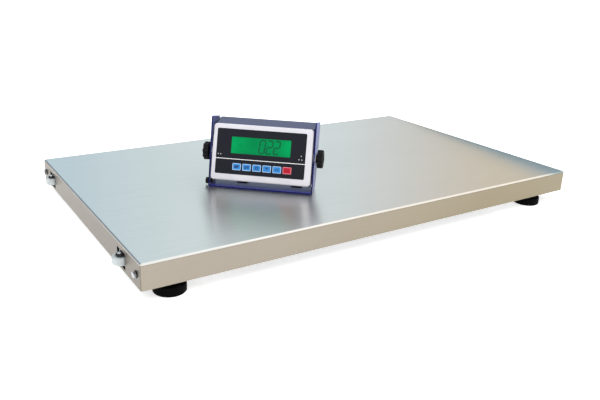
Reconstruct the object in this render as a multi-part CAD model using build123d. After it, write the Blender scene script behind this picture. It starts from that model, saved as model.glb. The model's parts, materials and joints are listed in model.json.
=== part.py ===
"""Low platform shipping scale with a separate indicator on a bent-steel stand.

Millimetres. +X runs along the platform's long side, +Y to its rear, +Z up.
The origin is on the floor, under the centre of the whole object's bounding box.
"""
from build123d import *
import os
from math import cos, sin, radians

# ---------------------------------------------------------------- driving dimensions
# Deck cover, folded from one sheet
deck_length = 1000.0
deck_width = 600.0
deck_height = 70.0              # walking surface above the floor
skirt_height = 45.0
sheet = 2.0
cover_bend = 4.0                # outer bend radius

# Side channels: inverted, closed at both ends, under the two long edges
channel_gap = 1.0               # between channel and skirt
channel_width = 54.0
channel_depth = 37.0
channel_wall = 3.0
channel_bend = 4.0
lead_hole_radius = 7.0          # in the inner leg, for a load cell's lead

# Rails between the channels
rail_wall = 2.0
rail_corner = 3.0
end_rail_width = 25.0
end_rail_height = 35.0
cross_rail_width = 40.0
cross_rail_height = 25.0
cross_rail_count = 3

# Load cells, with their free ends over the feet
cell_length = 130.0
cell_width = 25.0
cell_height = 25.0
cell_edge = 15.0                # hole centre to the end of the cell
cell_bolt_pitch = 25.0
cell_bolt_radius = 5.0
cell_bolt_head = 6.4
cell_bolt_across_flats = 16.0
cell_pocket_radius = 8.5
cell_pocket_depth = 7.0
cell_pocket_offset = 10.0       # pocket centres either side of the gauge section
cell_chamfer = 1.0
cell_boss_height = 4.0          # where the lead leaves the cell
spacer_thickness = 6.0

# Levelling feet
foot_inset_left = 58.0          # foot centre from the left end
foot_inset_right = 82.0         # foot centre from the right end
stud_radius = 6.0
stud_across_flats = 22.0
lock_nut_across_flats = 19.0
lock_nut_height = 8.0
pad_radius = 27.5
pad_height = 17.0
pad_crown = 3.0
pad_edge = 1.5
pad_socket_depth = 8.0          # how deep the stud sits in the pad
pad_groove_width = 2.0
pad_groove_depth = 1.0
pad_groove_radius = 17.0

# End rollers, lying flat in windows of the left skirt
roller_radius = 15.0
roller_width = 13.0
roller_from_top = 27.0          # roller's middle below the deck surface
roller_from_front = 88.0
roller_from_rear = 74.0
roller_edge = 1.5
roller_recess_radius = 10.0
roller_recess_depth = 1.5
roller_hub_radius = 6.0
roller_side_gap = 0.5           # between roller and fork
roller_back_gap = 2.0
fork_wall = 2.5
fork_nose_radius = 8.0
fork_width = 30.0
fork_shoulder = 9.0             # straight part of each fork arm
window_width = 38.0
window_below_top = 11.0
window_below_fork = 3.5
window_corner = 2.0
axle_radius = 3.0
axle_across_flats = 10.0
axle_head = 4.0

# Cover bolts in the short skirts
cover_bolt_radius = 3.0
cover_bolt_across_flats = 10.0
cover_bolt_head = 4.2
cover_washer_radius = 6.5
cover_washer = 1.2
cover_bolt_length = 16.0
cover_bolt_from_corner = 20.0
cover_bolt_from_top = 24.0
weld_nut_height = 5.0
weld_nut_across_flats = 10.0

# Junction box on the rear channel
box_length = 120.0
box_width = 60.0
box_height = 28.0
box_wall = 2.5
box_corner = 5.0
box_below_web = 3.0
lid_thickness = 4.0
lid_screw_radius = 2.0
lid_screw_head_radius = 3.5
lid_screw_head = 1.8
lid_screw_inset = 6.0
lid_boss_radius = 4.0
gland_radius = 6.0
gland_nut_across_flats = 15.0
gland_nut_height = 5.0
gland_dome_height = 8.0
gland_bore_radius = 2.5
gland_pitch = 26.0

# Indicator stand, bent from one steel strap
stand_from_left = 321.7         # middle of the strap's front edge
stand_from_front = 202.5
stand_turn = -41.8              # degrees about +Z
stand_thickness = 2.5
stand_bend = 3.5
strap_depth = 42.0
arm_waist_back = 60.0           # rear edge's knee
arm_waist_height = 33.0
arm_top_front = 30.0            # top front corner, back from the strap's front edge
arm_top_above = 73.0            # top front corner above the pivot
arm_top_rear = 91.0             # top rear corner
arm_rear_above = 60.0           # top rear corner above the pivot
arm_front_radius = 6.0
arm_rear_radius = 9.0
arm_waist_radius = 20.0
pivot_back = 31.0
housing_rise = 9.0              # bezel's bottom over the strap's underside, face upright
pad_strip_length = 22.0
pad_strip_width = 5.0
pad_strip_height = 1.5
pad_strip_left = -42.0
pad_strip_right = 69.0
pad_strip_back = 33.0

# Small lobed screw at the stand's lower left corner
thumb_back = 10.0
thumb_height = 9.0
thumb_radius = 6.5
thumb_thickness = 6.0
thumb_lobes = 6
thumb_screw_radius = 2.0
thumb_washer = 1.0
thumb_nut_height = 3.2
thumb_nut_across_flats = 7.0

# Clamp knobs
stud_thread_radius = 3.0
stud_reach = 14.0               # into the housing
knob_radius = 18.0
knob_thickness = 12.0
knob_lobes = 8
knob_scallop_radius = 4.5
knob_edge = 1.5
knob_hub_radius = 8.0
knob_hub_height = 2.5
knob_cap_radius = 9.0
knob_cap_depth = 1.5
knob_washer_radius = 11.0
knob_washer = 1.2
pivot_washer_radius = 12.0
pivot_washer = 1.5

# Indicator housing, tilted back on the pivot
tilt_at_rest = 17.5             # degrees, face leaning back
pivot_depth = 18.0              # pivot behind the bezel's front
bezel_width = 200.0
bezel_height = 112.0
bezel_depth = 10.0
bezel_corner = 7.0
bezel_edge = 3.0
bezel_wall = 2.5
bezel_plate = 3.5
gasket_thickness = 1.0
gasket_inset = 0.5              # from the bezel's outline
housing_rear = 58.0             # rear wall behind the bezel's front
housing_wall = 3.0
housing_lip = 1.0               # shell wider than the bezel, on each side
housing_back_up = 19.5          # rear top edge above the bezel's top
housing_back_down = 18.0        # rear bottom edge above the bezel's bottom
housing_long_edge = 5.0
housing_side_edge = 3.0
clamp_boss_radius = 7.0
screw_boss_radius = 4.5
screw_boss_inset = 8.0          # from the bezel's side
screw_boss_below_top = 10.0     # from the bezel's top
screw_boss_above_bottom = 26.0  # from the bezel's bottom
screw_radius = 2.0
screw_head_radius = 3.8
screw_head_height = 2.4
gland_inset = 32.0              # from the bezel's side
gland_up = -6.0

# Fascia, display and keys
fascia_from_left = 8.2          # from the bezel's left side
fascia_from_right = 12.6
fascia_from_top = 9.3
fascia_from_bottom = 12.7
fascia_thickness = 0.8
fascia_recess = 1.0
fascia_corner = 2.5
display_width = 119.0
display_height = 33.0
display_from_left = 29.8        # from the fascia's left edge
display_from_top = 15.5
display_rim = 1.5               # module beyond its window
display_front_gap = 0.2
key_width = 17.3
key_height = 13.8
key_corner = 1.5
key_count = 6
key_pitch = 20.2
key_first = 43.7                # first key's middle from the fascia's left edge
key_from_top = 74.6
key_proud = 0.5
key_cap = 2.2
key_gap = 0.3
key_stem_radius = 2.5
key_switch_gap = 0.5
switch_size = 6.0
switch_height = 1.0
board_side_inset = 16.0         # from the bezel's sides
board_end_inset = 14.0          # from its top and bottom
board_thickness = 1.6
board_from_front = 9.0
board_post_radius = 3.0
board_post_inset = 5.0
battery_width = 92.0
battery_height = 62.0
battery_depth = 26.0
battery_up = 14.0
battery_edge = 2.0

# Clearances
thread_gap = 0.1                # fastener in a hole that holds it
running_gap = 0.05              # radial, between a shaft and what turns on it
bolt_gap = 0.5                  # radial, bolt through a clearance hole
fit_gap = 0.3
overcut = 1.0                   # how far a cutter runs past the surface

# ---------------------------------------------------------------- derived places
bolt_proud = cover_washer + cover_bolt_head
left = -(deck_length + bolt_proud - roller_radius) / 2
right = left + deck_length
front = -deck_width / 2
rear = front + deck_width
skirt_bottom = deck_height - skirt_height
under_sheet = deck_height - sheet

channel_length = deck_length - 2 * (sheet + channel_gap)
channel_bottom = under_sheet - channel_depth
foot_line = sheet + channel_gap + channel_width / 2
channel_inner = sheet + channel_gap + channel_width
web_bottom = under_sheet - channel_wall
cell_top = web_bottom - spacer_thickness
cell_bottom = cell_top - cell_height

roller_middle = deck_height - roller_from_top
roller_bottom = roller_middle - roller_width / 2
roller_top = roller_middle + roller_width / 2
fork_bottom = roller_bottom - roller_side_gap - fork_wall
fork_top = roller_top + roller_side_gap + fork_wall
end_rail_setback = roller_radius + roller_back_gap + fork_wall
roller_rows = {
    "near": front + roller_from_front,
    "far": rear - roller_from_rear,
}
foot_places = {
    "front_left": (left + foot_inset_left, front + foot_line, 1),
    "front_right": (right - foot_inset_right, front + foot_line, -1),
    "rear_left": (left + foot_inset_left, rear - foot_line, 1),
    "rear_right": (right - foot_inset_right, rear - foot_line, -1),
}
bolt_height = deck_height - cover_bolt_from_top
bolt_rows = (front + cover_bolt_from_corner, rear - cover_bolt_from_corner)

housing_side = bezel_width / 2 + housing_lip
arm_inner = housing_side + pivot_washer
arm_outer = arm_inner + stand_thickness
pivot_height = bezel_height / 2 + housing_rise
arm_top_height = pivot_height + arm_top_above
arm_rear_height = pivot_height + arm_rear_above
stand_frame = Pos(left + stand_from_left, front + stand_from_front, deck_height) * Rot(0, 0, stand_turn)
housing_frame = stand_frame * Pos(0, pivot_back, pivot_height) * Rot(-tilt_at_rest, 0, 0)
face = -pivot_depth             # bezel's front, in the housing's frame
shell_front = face + bezel_depth + gasket_thickness
shell_rear = face + housing_rear
housing_top_rear = bezel_height / 2 + housing_back_up
housing_bottom_rear = housing_back_down - bezel_height / 2
screw_boss_side = bezel_width / 2 - screw_boss_inset
screw_boss_up = bezel_height / 2 - screw_boss_below_top
screw_boss_down = screw_boss_above_bottom - bezel_height / 2
gland_side = bezel_width / 2 - gland_inset
board_front = face + board_from_front
board_width = bezel_width - 2 * board_side_inset
board_height = bezel_height - 2 * board_end_inset
fascia_floor = face + fascia_recess
fascia_width = bezel_width - fascia_from_left - fascia_from_right
fascia_height = bezel_height - fascia_from_top - fascia_from_bottom
fascia_left = fascia_from_left - bezel_width / 2
fascia_top = bezel_height / 2 - fascia_from_top
fascia_middle = (fascia_left + fascia_width / 2, fascia_top - fascia_height / 2)
display_x = fascia_left + display_from_left + display_width / 2
display_z = fascia_top - display_from_top - display_height / 2
key_row = fascia_top - key_from_top
key_places = [fascia_left + key_first + key_pitch * i for i in range(key_count)]

BASE = (Align.CENTER, Align.CENTER, Align.MIN)


# ---------------------------------------------------------------- shared shapes
def rod(radius, height, z=0.0):
    """Upright cylinder standing at height z."""
    return Pos(0, 0, z) * Cylinder(radius, height, align=BASE)


def block(length, width, height, z=0.0):
    """Box standing at height z, centred on the origin in plan."""
    return Pos(0, 0, z) * Box(length, width, height, align=BASE)


def hexagon(across_flats, height, z=0.0):
    """Upright hexagonal prism standing at height z."""
    outline = RegularPolygon(across_flats / 2, 6, major_radius=False)
    return Pos(0, 0, z) * extrude(outline, height)


def rounded_plate(width, height, depth, corner, y=0.0):
    """Rounded rectangle in the XZ plane, extruded back from y."""
    outline = Plane.XZ.offset(-y) * RectangleRounded(width, height, corner)
    return extrude(outline, -depth)


def bolt(radius, length, head_flats, head_height):
    """Hexagon bolt: head from 0 up, shank from 0 down."""
    return rod(radius, length, -length) + hexagon(head_flats, head_height)


def lobed_disc(radius, thickness, lobes, scallop, edge):
    """Hand grip with scallops round its rim, standing on the XY plane."""
    disc = rod(radius, thickness)
    cutter = Pos(radius + scallop / 3, 0, -overcut) * rod(scallop, thickness + 2 * overcut)
    for index in range(lobes):
        disc -= Rot(0, 0, 360 / lobes * (index + 0.5)) * cutter
    ends = disc.faces().filter_by(Axis.Z)
    rims = [item for end in ends for item in end.edges()]
    return chamfer(rims, edge)


def tube(width, height, length):
    """Rectangular steel tube along Y, its top face at z = 0."""
    outer = RectangleRounded(width, height, rail_corner)
    bore = RectangleRounded(width - 2 * rail_wall, height - 2 * rail_wall, rail_corner - rail_wall)
    section = Plane.XZ.offset(length / 2) * Pos(0, -height / 2) * (outer - bore)
    return extrude(section, -length)


def gland():
    """Cable gland standing on the XY plane: hexagon, dome nut and cable bore."""
    body = hexagon(gland_nut_across_flats, gland_nut_height)
    dome = rod(gland_radius, gland_dome_height, gland_nut_height)
    dome = chamfer(dome.edges().group_by(Axis.Z)[-1], gland_radius / 3)
    return body + dome - rod(gland_bore_radius, gland_nut_height + gland_dome_height)


# ---------------------------------------------------------------- platform
def deck_cover():
    """Stainless pan: deck, four skirts, roller windows and bolt holes."""
    pan = block(deck_length, deck_width, skirt_height)
    pan = fillet(pan.edges().filter_by(Axis.Z) + pan.edges().group_by(Axis.Z)[-1], cover_bend)
    hollow = block(deck_length - 2 * sheet, deck_width - 2 * sheet, skirt_height - sheet)
    inner_bend = cover_bend - sheet
    hollow = fillet(hollow.edges().filter_by(Axis.Z) + hollow.edges().group_by(Axis.Z)[-1], inner_bend)
    cover = Pos((left + right) / 2, 0, skirt_bottom) * (pan - hollow)
    window_top = deck_height - window_below_top
    window_bottom = fork_bottom - window_below_fork
    middle = (window_top + window_bottom) / 2
    for row in roller_rows.values():
        outline = Plane.YZ * RectangleRounded(window_width, window_top - window_bottom, window_corner)
        cover -= Pos(left - sheet, row, middle) * extrude(outline, 3 * sheet)
    for row in bolt_rows:
        for end in (left, right):
            hole = Cylinder(cover_bolt_radius + bolt_gap, 3 * sheet)
            cover -= Pos(end, row, bolt_height) * Rot(0, 90, 0) * hole
    return cover


def side_channel(row, inward):
    """Inverted channel with end plates, weld nuts, tapped cell holes and lead holes."""
    body = block(channel_length, channel_width, channel_depth)
    body = fillet(body.edges().group_by(Axis.Z)[-1], channel_bend)
    hollow_length = channel_length - 2 * channel_wall
    hollow_width = channel_width - 2 * channel_wall
    hollow = block(hollow_length, hollow_width, channel_depth - channel_wall)
    body = Pos((left + right) / 2, row, channel_bottom) * (body - hollow)
    bolt_row = row - inward * (foot_line - cover_bolt_from_corner)
    for end, way in ((left, 1), (right, -1)):
        plate = end + way * (sheet + channel_gap + channel_wall)
        place = Pos(plate, bolt_row, bolt_height) * Rot(0, way * 90, 0)
        body += place * hexagon(weld_nut_across_flats, weld_nut_height)
        reach = channel_wall + weld_nut_height + 2 * overcut
        body -= place * rod(cover_bolt_radius + thread_gap, reach, -channel_wall - overcut)
    for x, y, way in foot_places.values():
        if y != row:
            continue
        for step in range(2):
            place = x + way * (cell_length - 2 * cell_edge - step * cell_bolt_pitch)
            body -= Pos(place, row, web_bottom) * rod(cell_bolt_radius + thread_gap, channel_wall)
        lead = x + way * (cell_length + lead_hole_radius)
        leg = Pos(lead, row + inward * channel_width / 2, (channel_bottom + web_bottom) / 2)
        body -= leg * Rot(90, 0, 0) * Cylinder(lead_hole_radius, 3 * channel_wall)
    return body


def load_cell(x, y, way):
    """Shear-beam cell: tapped foot hole, two gauge pockets, two bolt holes, lead boss."""
    body = block(cell_length, cell_width, cell_height)
    body = chamfer(body.edges().filter_by(Axis.X), cell_chamfer)
    middle = cell_length / 2 - cell_edge
    body = Pos(middle, 0, 0) * body
    body -= rod(stud_radius + running_gap, cell_height)
    fixed = cell_length - 2 * cell_edge
    for step in range(2):
        hole = Pos(fixed - step * cell_bolt_pitch, 0, 0)
        body -= hole * rod(cell_bolt_radius + bolt_gap, cell_height)
    gauge = (fixed - cell_bolt_pitch) / 2
    for side in (-1, 1):
        for shift in (-cell_pocket_offset, cell_pocket_offset):
            pocket = Cylinder(cell_pocket_radius, 2 * cell_pocket_depth)
            body -= Pos(gauge + shift, side * cell_width / 2, cell_height / 2) * Rot(90, 0, 0) * pocket
    end = Pos(cell_length - cell_edge, 0, cell_height / 2) * Rot(0, 90, 0)
    body += end * rod(gland_radius, cell_boss_height)
    turn = 0 if way > 0 else 180
    return Pos(x, y, cell_bottom) * Rot(0, 0, turn) * body


def cell_spacer(x, y, way):
    """Plate between a cell's fixed end and the channel's web."""
    length = cell_bolt_pitch + 2 * cell_edge
    plate = block(length, cell_width, spacer_thickness)
    fixed = cell_length - 2 * cell_edge
    for step in range(2):
        shift = cell_bolt_pitch / 2 - step * cell_bolt_pitch
        plate -= Pos(shift, 0, 0) * rod(cell_bolt_radius + thread_gap, spacer_thickness)
    middle = x + way * (fixed - cell_bolt_pitch / 2)
    return Pos(middle, y, cell_top) * plate


def cell_bolts(x, y, way):
    """Two bolts from below, through cell and spacer, into the web."""
    fixed = cell_length - 2 * cell_edge
    length = cell_height + spacer_thickness + channel_wall - thread_gap
    pair = []
    for step in range(2):
        place = Pos(x + way * (fixed - step * cell_bolt_pitch), y, cell_bottom)
        shape = bolt(cell_bolt_radius, length, cell_bolt_across_flats, cell_bolt_head)
        pair.append(place * Rot(180, 0, 0) * shape)
    return pair


def foot_pad(x, y):
    """Rubber pad: crowned top, rounded foot, ring groove below and a socket for the stud."""
    pad = rod(pad_radius, pad_height)
    pad = fillet(pad.edges().group_by(Axis.Z)[-1], pad_crown)
    pad = chamfer(pad.edges().group_by(Axis.Z)[0], pad_edge)
    groove = rod(pad_groove_radius + pad_groove_width, pad_groove_depth)
    pad -= groove - rod(pad_groove_radius, pad_groove_depth)
    pad -= rod(stud_radius + running_gap, pad_socket_depth, pad_height - pad_socket_depth)
    return Pos(x, y, 0) * pad


def foot_stud(x, y):
    """Threaded stud, its spanner hexagon between the pad and the lock nut."""
    bottom = pad_height - pad_socket_depth
    flange = cell_bottom - lock_nut_height - pad_height
    top = cell_top - spacer_thickness / 2
    stud = rod(stud_radius, top - bottom, bottom)
    stud = chamfer(stud.edges().group_by(Axis.Z)[-1], stud_radius / 5)
    return Pos(x, y, 0) * (stud + hexagon(stud_across_flats, flange, pad_height))


def lock_nut(x, y):
    """Thin nut under the load cell."""
    nut = hexagon(lock_nut_across_flats, lock_nut_height) - rod(stud_radius + running_gap, lock_nut_height)
    return Pos(x, y, cell_bottom - lock_nut_height) * nut


def rail_place(index):
    """Middle of one of the equally spaced cross rails, along the deck."""
    first = left + end_rail_setback + end_rail_width
    last = right - end_rail_setback - end_rail_width
    return first + (last - first) * (index + 1) / (cross_rail_count + 1)


def cross_rail(index):
    """One of the rails between the channels."""
    length = deck_width - 2 * channel_inner
    return Pos(rail_place(index), 0, under_sheet) * tube(cross_rail_width, cross_rail_height, length)


def end_rail(x):
    """Rail across one end, between the channels."""
    return Pos(x, 0, under_sheet) * tube(end_rail_width, end_rail_height, deck_width - 2 * channel_inner)


def roller_fork(row):
    """Channel-shaped fork: web on the end rail, two noses through the window."""
    depth = roller_radius + roller_back_gap + fork_wall
    half = fork_width / 2
    nose = Circle(fork_nose_radius)
    flare = make_face(Polyline(
        (0, -fork_nose_radius), (depth - fork_shoulder, -half), (depth, -half),
        (depth, half), (depth - fork_shoulder, half), (0, fork_nose_radius), close=True))
    solid = extrude(nose + flare, fork_top - fork_bottom)
    gap_height = fork_top - fork_bottom - 2 * fork_wall
    gap_length = depth - fork_wall + fork_nose_radius + overcut
    gap = Pos(depth - fork_wall - gap_length / 2, 0, fork_wall) * block(gap_length, fork_width + overcut, gap_height)
    solid -= gap
    solid -= rod(axle_radius + running_gap, fork_top - fork_bottom)
    return Pos(left, row, fork_bottom) * solid


def roller(row):
    """Nylon roller with rounded rims and a recess round its hub on both faces."""
    wheel = rod(roller_radius, roller_width)
    wheel = chamfer(wheel.edges().filter_by(GeomType.CIRCLE), roller_edge)
    ring = rod(roller_recess_radius, roller_recess_depth) - rod(roller_hub_radius, roller_recess_depth)
    wheel -= ring
    wheel -= Pos(0, 0, roller_width - roller_recess_depth) * ring
    wheel -= rod(axle_radius + running_gap, roller_width)
    return Pos(left, row, roller_bottom) * wheel


def roller_axle(row):
    """Bolt through fork and roller, head on top, screwed into the lower arm."""
    length = fork_top - fork_bottom
    return Pos(left, row, fork_top) * bolt(axle_radius, length, axle_across_flats, axle_head)


def cover_bolt(end, way, row):
    """Hexagon bolt and washer holding the cover's short skirt."""
    piece = bolt(cover_bolt_radius, cover_bolt_length, cover_bolt_across_flats, cover_bolt_head)
    piece += rod(cover_washer_radius, cover_washer, -cover_washer)
    place = Pos(end + way * cover_washer, row, bolt_height) * Rot(0, way * 90, 0)
    return place * piece


# Junction box, against the rear channel's inner leg
box_back = rear - channel_inner
box_top = web_bottom - box_below_web
box_bottom = box_top - box_height
box_bay = (rail_place(1) + rail_place(2)) / 2
box_frame = Pos(box_bay, box_back - box_width / 2, 0)


def lid_places():
    """Places of the lid's corner screws, in the box's own frame."""
    x = box_length / 2 - lid_screw_inset
    y = box_width / 2 - lid_screw_inset
    return [(-x, -y), (x, -y), (-x, y), (x, y)]


def gland_places():
    """Frames of the glands on the box: two on each end, one on the inner side."""
    z = box_bottom + box_height / 2
    frames = [Pos(0, -box_width / 2, z) * Rot(90, 0, 0)]
    for way in (-1, 1):
        for side in (-0.5, 0.5):
            frames.append(Pos(way * box_length / 2, side * gland_pitch, z) * Rot(0, way * 90, 0))
    return frames


def junction_box():
    """Box open downwards, with screw bosses in its corners and bores for the glands."""
    body = block(box_length, box_width, box_height, box_bottom)
    body = fillet(body.edges().filter_by(Axis.Z), box_corner)
    hollow = block(box_length - 2 * box_wall, box_width - 2 * box_wall, box_height - box_wall, box_bottom)
    body -= fillet(hollow.edges().filter_by(Axis.Z), box_corner - box_wall)
    for x, y in lid_places():
        boss = Pos(x, y, 0) * rod(lid_boss_radius, box_height - box_wall / 2, box_bottom)
        hole = Pos(x, y, 0) * rod(lid_screw_radius + thread_gap, box_height / 2, box_bottom)
        body = body + boss - hole
    for frame in gland_places():
        body -= frame * Cylinder(gland_bore_radius, 3 * box_wall)
    return box_frame * body


def junction_lid():
    """Lid under the box."""
    lid = block(box_length, box_width, lid_thickness, box_bottom - lid_thickness)
    lid = fillet(lid.edges().filter_by(Axis.Z), box_corner)
    for x, y in lid_places():
        lid -= Pos(x, y, 0) * rod(lid_screw_radius + thread_gap, lid_thickness, box_bottom - lid_thickness)
    return box_frame * lid


def junction_screws():
    """Four pan-head screws in the lid."""
    under = box_bottom - lid_thickness
    screws = []
    for x, y in lid_places():
        screw = rod(lid_screw_radius, lid_thickness + box_height / 3, under)
        screw += rod(lid_screw_head_radius, lid_screw_head, under - lid_screw_head)
        screws.append(box_frame * Pos(x, y, 0) * screw)
    return screws


# ---------------------------------------------------------------- indicator stand
def arm_outline():
    """Side profile of one stand arm, in the stand's YZ plane."""
    points = [
        (0, 0), (strap_depth, 0), (arm_waist_back, arm_waist_height),
        (arm_top_rear, arm_rear_height), (arm_top_front, arm_top_height),
    ]
    radii = [0, 0, arm_waist_radius, arm_rear_radius, arm_front_radius]
    outline = make_face(Polyline(*points, close=True))
    for (y, z), radius in zip(points, radii):
        if radius:
            corner = min(outline.vertices(), key=lambda v: (v.X - y) ** 2 + (v.Y - z) ** 2)
            outline = fillet(corner, radius)
    return Plane.YZ * outline


def stand_bracket():
    """Bent strap: foot on the deck and two leaning arms with pivot holes."""
    side = extrude(arm_outline(), 2 * arm_outer)
    side = Pos(-arm_outer, 0, 0) * side
    inner_height = 2 * arm_top_height
    inside = Pos(0, strap_depth, stand_thickness) * block(2 * arm_inner, 4 * arm_top_rear, inner_height)
    bends = inside.edges().filter_by(Axis.Y).group_by(Axis.Z)[0]
    inside = fillet(bends, stand_bend - stand_thickness)
    outer_bends = side.edges().filter_by(Axis.Y).group_by(Axis.Z)[0]
    bracket = fillet(outer_bends, stand_bend) - inside
    pivot = Pos(0, pivot_back, pivot_height) * Rot(0, 90, 0)
    bracket -= pivot * Cylinder(stud_thread_radius + bolt_gap, 2 * arm_outer + overcut)
    screw = Pos(-arm_outer, thumb_back, thumb_height) * Rot(0, 90, 0)
    bracket -= screw * Cylinder(thumb_screw_radius + thread_gap, 3 * stand_thickness)
    return stand_frame * bracket


def stand_pads():
    """Two rubber strips on the strap, under the housing."""
    strips = []
    for x in (pad_strip_left, pad_strip_right):
        strip = block(pad_strip_length, pad_strip_width, pad_strip_height, stand_thickness)
        top = strip.edges().group_by(Axis.Z)[-1]
        strips.append(stand_frame * Pos(x, pad_strip_back, 0) * fillet(top, pad_strip_height / 3))
    return strips


def thumb_screw():
    """Small lobed screw through the left arm, with its nut inside."""
    shank = stand_thickness + thumb_nut_height + thumb_screw_radius / 2
    head = lobed_disc(thumb_radius, thumb_thickness, thumb_lobes, thumb_radius / 3, thumb_radius / 8)
    piece = Pos(0, 0, thumb_washer) * head
    piece += rod(thumb_radius * 2 / 3, thumb_washer)
    piece += rod(thumb_screw_radius, shank, -shank)
    piece += hexagon(thumb_nut_across_flats, thumb_nut_height, -stand_thickness - thumb_nut_height)
    return stand_frame * Pos(-arm_outer, thumb_back, thumb_height) * Rot(0, -90, 0) * piece


# ---------------------------------------------------------------- indicator housing
def side_frames():
    """Frames on the pivot axis, z pointing out to the right and to the left."""
    return {"right": housing_frame * Rot(0, 90, 0), "left": housing_frame * Rot(0, -90, 0)}


def clamp_knob(frame):
    """Lobed knob with hub, recessed cap, bored for its stud."""
    start = arm_outer + knob_washer
    grip = lobed_disc(knob_radius, knob_thickness, knob_lobes, knob_scallop_radius, knob_edge)
    knob = Pos(0, 0, knob_hub_height) * grip + rod(knob_hub_radius, knob_hub_height)
    top = knob_hub_height + knob_thickness
    knob -= rod(knob_cap_radius, knob_cap_depth, top - knob_cap_depth)
    knob -= rod(stud_thread_radius, top - 2 * knob_cap_depth)
    return frame * Pos(0, 0, start) * knob


def clamp_stud(frame):
    """Threaded stud from the knob through the arm into the housing."""
    start = housing_side - stud_reach
    end = arm_outer + knob_washer + knob_hub_height + knob_thickness - 2 * knob_cap_depth
    return frame * rod(stud_thread_radius, end - start, start)


def ring(outer, inner, thickness, z):
    """Flat washer standing at height z."""
    return rod(outer, thickness, z) - rod(inner, thickness, z)


def knob_washer_piece(frame):
    """Washer between knob and arm."""
    return frame * ring(knob_washer_radius, stud_thread_radius + running_gap, knob_washer, arm_outer)


def pivot_washer_piece(frame):
    """Friction washer between arm and housing."""
    return frame * ring(pivot_washer_radius, stud_thread_radius + running_gap, pivot_washer, housing_side)


def screw_places():
    """Corner screws of the housing, as (x, z) in its frame."""
    return [(x, z) for x in (-screw_boss_side, screw_boss_side) for z in (screw_boss_down, screw_boss_up)]


def post(radius, start, end, x, z):
    """Round post along the housing's depth."""
    outline = Plane.XZ.offset(-start) * Pos(x, z) * Circle(radius)
    return extrude(outline, start - end)


def shell_profile(inset):
    """Side profile of the rear shell, moved in by a wall thickness."""
    half = bezel_height / 2
    corners = [
        (shell_front, -half), (shell_rear, housing_bottom_rear),
        (shell_rear, housing_top_rear), (shell_front, half),
    ]
    outline = make_face(Polyline(*corners, close=True))
    rear_corners = outline.vertices().group_by(Axis.X)[-1]
    outline = fillet(rear_corners, housing_long_edge)
    if inset:
        outline = offset(outline, -inset)
    return Plane.YZ * outline


def rear_housing():
    """Moulded rear shell: sloping top and bottom, hollow, with screw and clamp bosses."""
    width = 2 * housing_side
    body = Pos(-housing_side, 0, 0) * extrude(shell_profile(0), width)
    rims = [item for side in body.faces().filter_by(Axis.X) for item in side.edges()]
    rims = [item for item in rims if item.center().Y > shell_front + fit_gap]
    body = fillet(rims, housing_side_edge)
    hollow_width = width - 2 * housing_wall
    hollow = Pos(-hollow_width / 2, 0, 0) * extrude(shell_profile(housing_wall), hollow_width)
    mouth_height = bezel_height - 2 * housing_wall
    mouth = Pos(0, shell_front, 0) * Box(hollow_width, 3 * housing_wall, mouth_height)
    body = body - hollow - mouth
    for x, z in screw_places():
        body += post(screw_boss_radius, shell_front, shell_rear - housing_wall / 2, x, z)
    for x, z in screw_places():
        body -= post(screw_radius + thread_gap, shell_front - overcut, shell_rear + overcut, x, z)
    for frame in (Rot(0, 90, 0), Rot(0, -90, 0)):
        body += frame * rod(clamp_boss_radius, stud_reach, housing_side - stud_reach)
        body -= frame * rod(stud_thread_radius + running_gap, stud_reach, housing_side - stud_reach)
    for x in (-gland_side, gland_side):
        body -= post(gland_bore_radius, shell_rear - 2 * housing_wall, shell_rear + overcut, x, gland_up)
    return housing_frame * body


def housing_screws():
    """Four screws from the rear wall into the bezel's posts."""
    screws = []
    for x, z in screw_places():
        screw = post(screw_radius, face + bezel_plate, shell_rear, x, z)
        screw += post(screw_head_radius, shell_rear, shell_rear + screw_head_height, x, z)
        screws.append(housing_frame * screw)
    return screws


def housing_glands():
    """Two cable glands on the rear wall."""
    places = [Pos(x, shell_rear, gland_up) * Rot(-90, 0, 0) for x in (-gland_side, gland_side)]
    return [housing_frame * place * gland() for place in places]


def bezel_gasket():
    """Seal between bezel and rear shell."""
    start = shell_front - gasket_thickness
    width = bezel_width - 2 * gasket_inset
    height = bezel_height - 2 * gasket_inset
    outer = rounded_plate(width, height, gasket_thickness, bezel_corner - gasket_inset, start)
    hole_width = bezel_width - 2 * bezel_wall
    hole_height = bezel_height - 2 * bezel_wall
    inner_corner = bezel_corner - bezel_wall
    return housing_frame * (outer - rounded_plate(hole_width, hole_height, gasket_thickness, inner_corner, start))


def key_openings(depth, start):
    """Cutters for the key windows."""
    width = key_width + 2 * key_gap
    height = key_height + 2 * key_gap
    cut = rounded_plate(width, height, depth, key_corner, start)
    return [Pos(x, 0, key_row) * cut for x in key_places]


def board_posts():
    """Places of the posts that carry the main board."""
    x = board_width / 2 - board_post_inset
    z = board_height / 2 - board_post_inset
    return [(-x, -z), (x, -z), (-x, z), (x, z)]


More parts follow.
